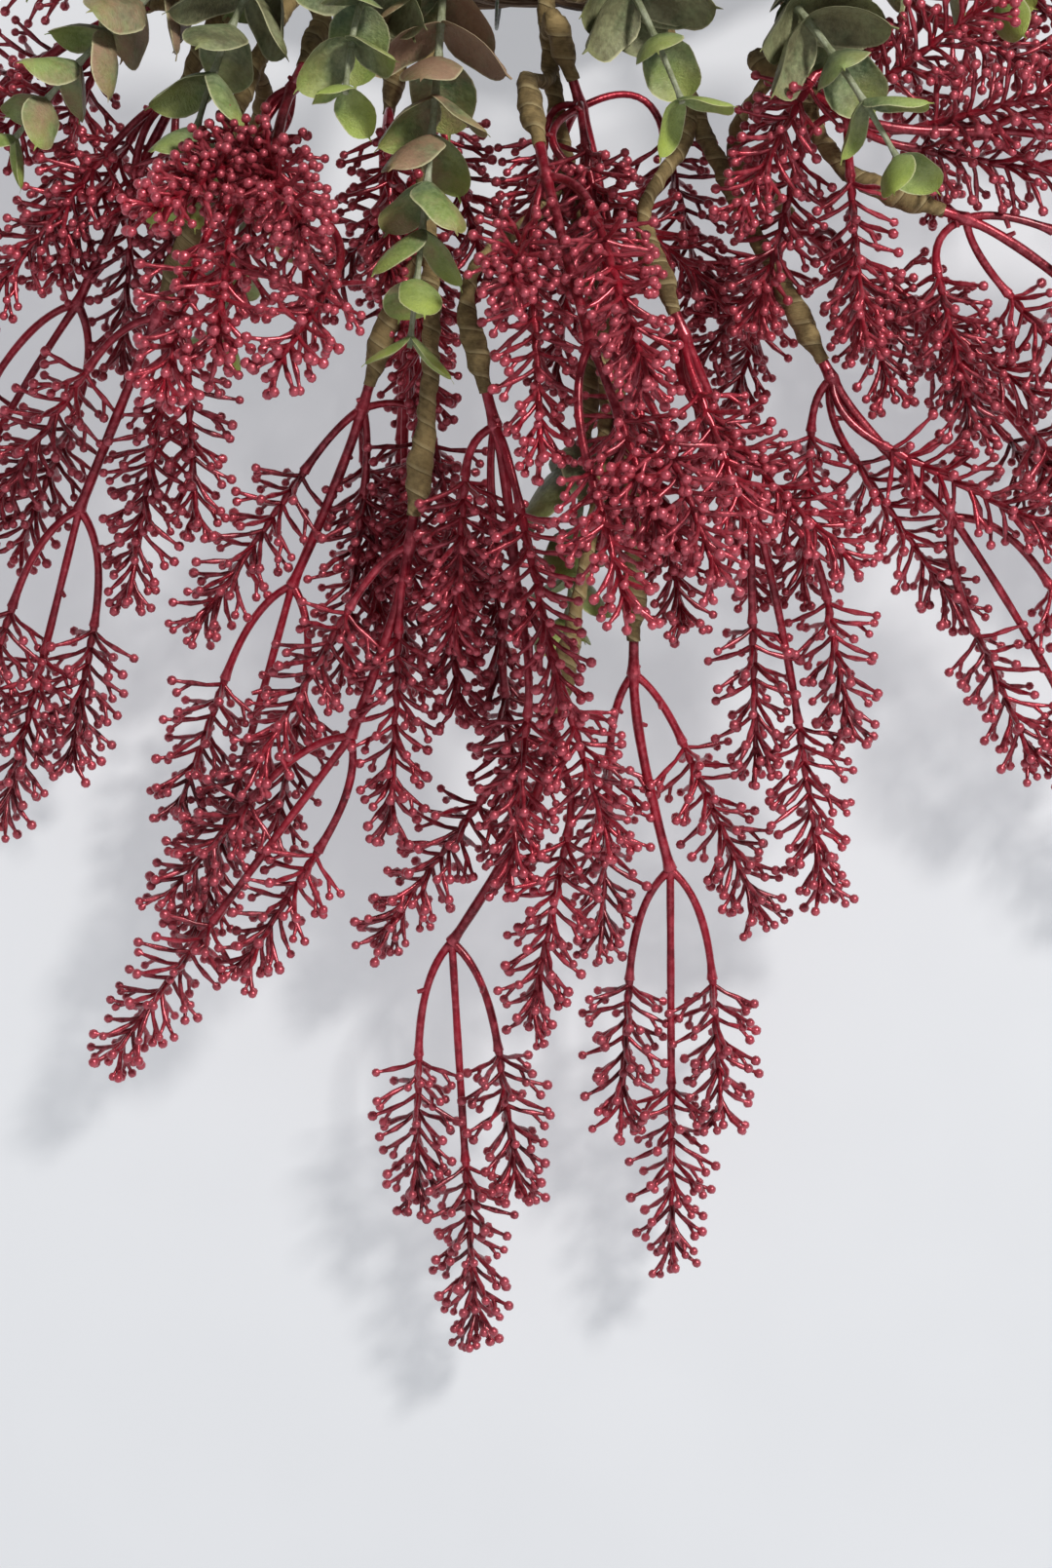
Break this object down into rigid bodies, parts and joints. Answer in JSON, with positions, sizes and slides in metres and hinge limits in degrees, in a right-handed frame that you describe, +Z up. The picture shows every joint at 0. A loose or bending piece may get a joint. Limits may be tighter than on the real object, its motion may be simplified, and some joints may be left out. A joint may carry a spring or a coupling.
{
  "type": "door wreath",
  "caption": "Harvest door wreath: a grapevine ring on a wire hanger, with bendable burgundy berry-like sprays and eucalyptus sprigs fanning down from its lowest point.",
  "frame": {"origin": "the point where the door hook bears inside the top of the wire hanger loop", "axes": "+X to the viewer's right, +Y into the door, +Z up"},
  "size_m": [0.4956, 0.1447, 0.7735],
  "materials": {
    "grapevine": "rough",
    "hanger_wire": "satin",
    "floral_wire": "satin",
    "paper_tape": "matte",
    "burgundy_plastic": "pearly satin",
    "leaf_plastic": "matte with pale rims"
  },
  "bodies": {
    "hanger": {"hanger_loop": "hanger_wire"},
    "ring": {"vine_1": "grapevine", "vine_2": "grapevine", "vine_3": "grapevine", "vine_4": "grapevine", "vine_5": "grapevine", "binding_vine_left": "grapevine", "binding_vine_right": "grapevine", "tie_1": "floral_wire", "tie_2": "floral_wire", "tie_3": "floral_wire", "tie_4": "floral_wire", "tail_far_left": "paper_tape", "tail_left": "paper_tape", "tail_centre": "paper_tape", "tail_right": "paper_tape", "tail_far_right": "paper_tape"},
    "spray_far_left": {"stem_far_left": "paper_tape", "branch_drape": "burgundy_plastic", "branch_edge": "burgundy_plastic", "branch_burst": "burgundy_plastic", "branch_reach": "burgundy_plastic", "sprig_lilt": "leaf_plastic", "sprig_wave": "leaf_plastic", "sprig_crown": "leaf_plastic", "sprig_tuck": "leaf_plastic"},
    "spray_left": {"stem_left": "paper_tape", "branch_bow": "burgundy_plastic", "branch_shade": "burgundy_plastic", "branch_under": "burgundy_plastic", "sprig_tassel": "leaf_plastic", "sprig_nod": "leaf_plastic"},
    "spray_centre": {"stem_centre": "paper_tape", "branch_anchor": "burgundy_plastic", "branch_plumb": "burgundy_plastic", "branch_crest": "burgundy_plastic", "branch_flare": "burgundy_plastic", "branch_heart": "burgundy_plastic", "sprig_hush": "leaf_plastic"},
    "spray_right": {"stem_right": "paper_tape", "branch_shelf": "burgundy_plastic", "branch_bloom": "burgundy_plastic", "sprig_dart": "leaf_plastic"},
    "spray_far_right": {"stem_far_right": "paper_tape", "branch_fence": "burgundy_plastic", "branch_dusk": "burgundy_plastic", "branch_spark": "burgundy_plastic", "branch_wing": "burgundy_plastic", "sprig_perch": "leaf_plastic", "sprig_peek": "leaf_plastic"}
  },
  "joints": [
    {"name": "ring_swing", "type": "hinge", "parent": "hanger", "child": "ring", "pos_m": [0, 0, -0.0525], "axis": [-1, 0, 0], "range_deg": [0, 35]},
    {"name": "far_left_bend", "type": "hinge", "parent": "ring", "child": "spray_far_left", "pos_m": [-0.05788, -0.02876, -0.36877], "axis": [-0.766, 0, 0.6428], "range_deg": [0, 12]},
    {"name": "left_bend", "type": "hinge", "parent": "ring", "child": "spray_left", "pos_m": [-0.02939, -0.02876, -0.37641], "axis": [-0.9659, 0, 0.2588], "range_deg": [0, 12]},
    {"name": "centre_bend", "type": "hinge", "parent": "ring", "child": "spray_centre", "pos_m": [0, -0.02876, -0.37898], "axis": [-0.9986, 0, -0.0523], "range_deg": [0, 8]},
    {"name": "right_bend", "type": "hinge", "parent": "ring", "child": "spray_right", "pos_m": [0.02939, -0.02876, -0.37641], "axis": [-0.8988, 0, -0.4384], "range_deg": [0, 12]},
    {"name": "far_right_bend", "type": "hinge", "parent": "ring", "child": "spray_far_right", "pos_m": [0.05788, -0.02876, -0.36877], "axis": [-0.5299, 0, -0.848], "range_deg": [0, 12]}
  ]
}
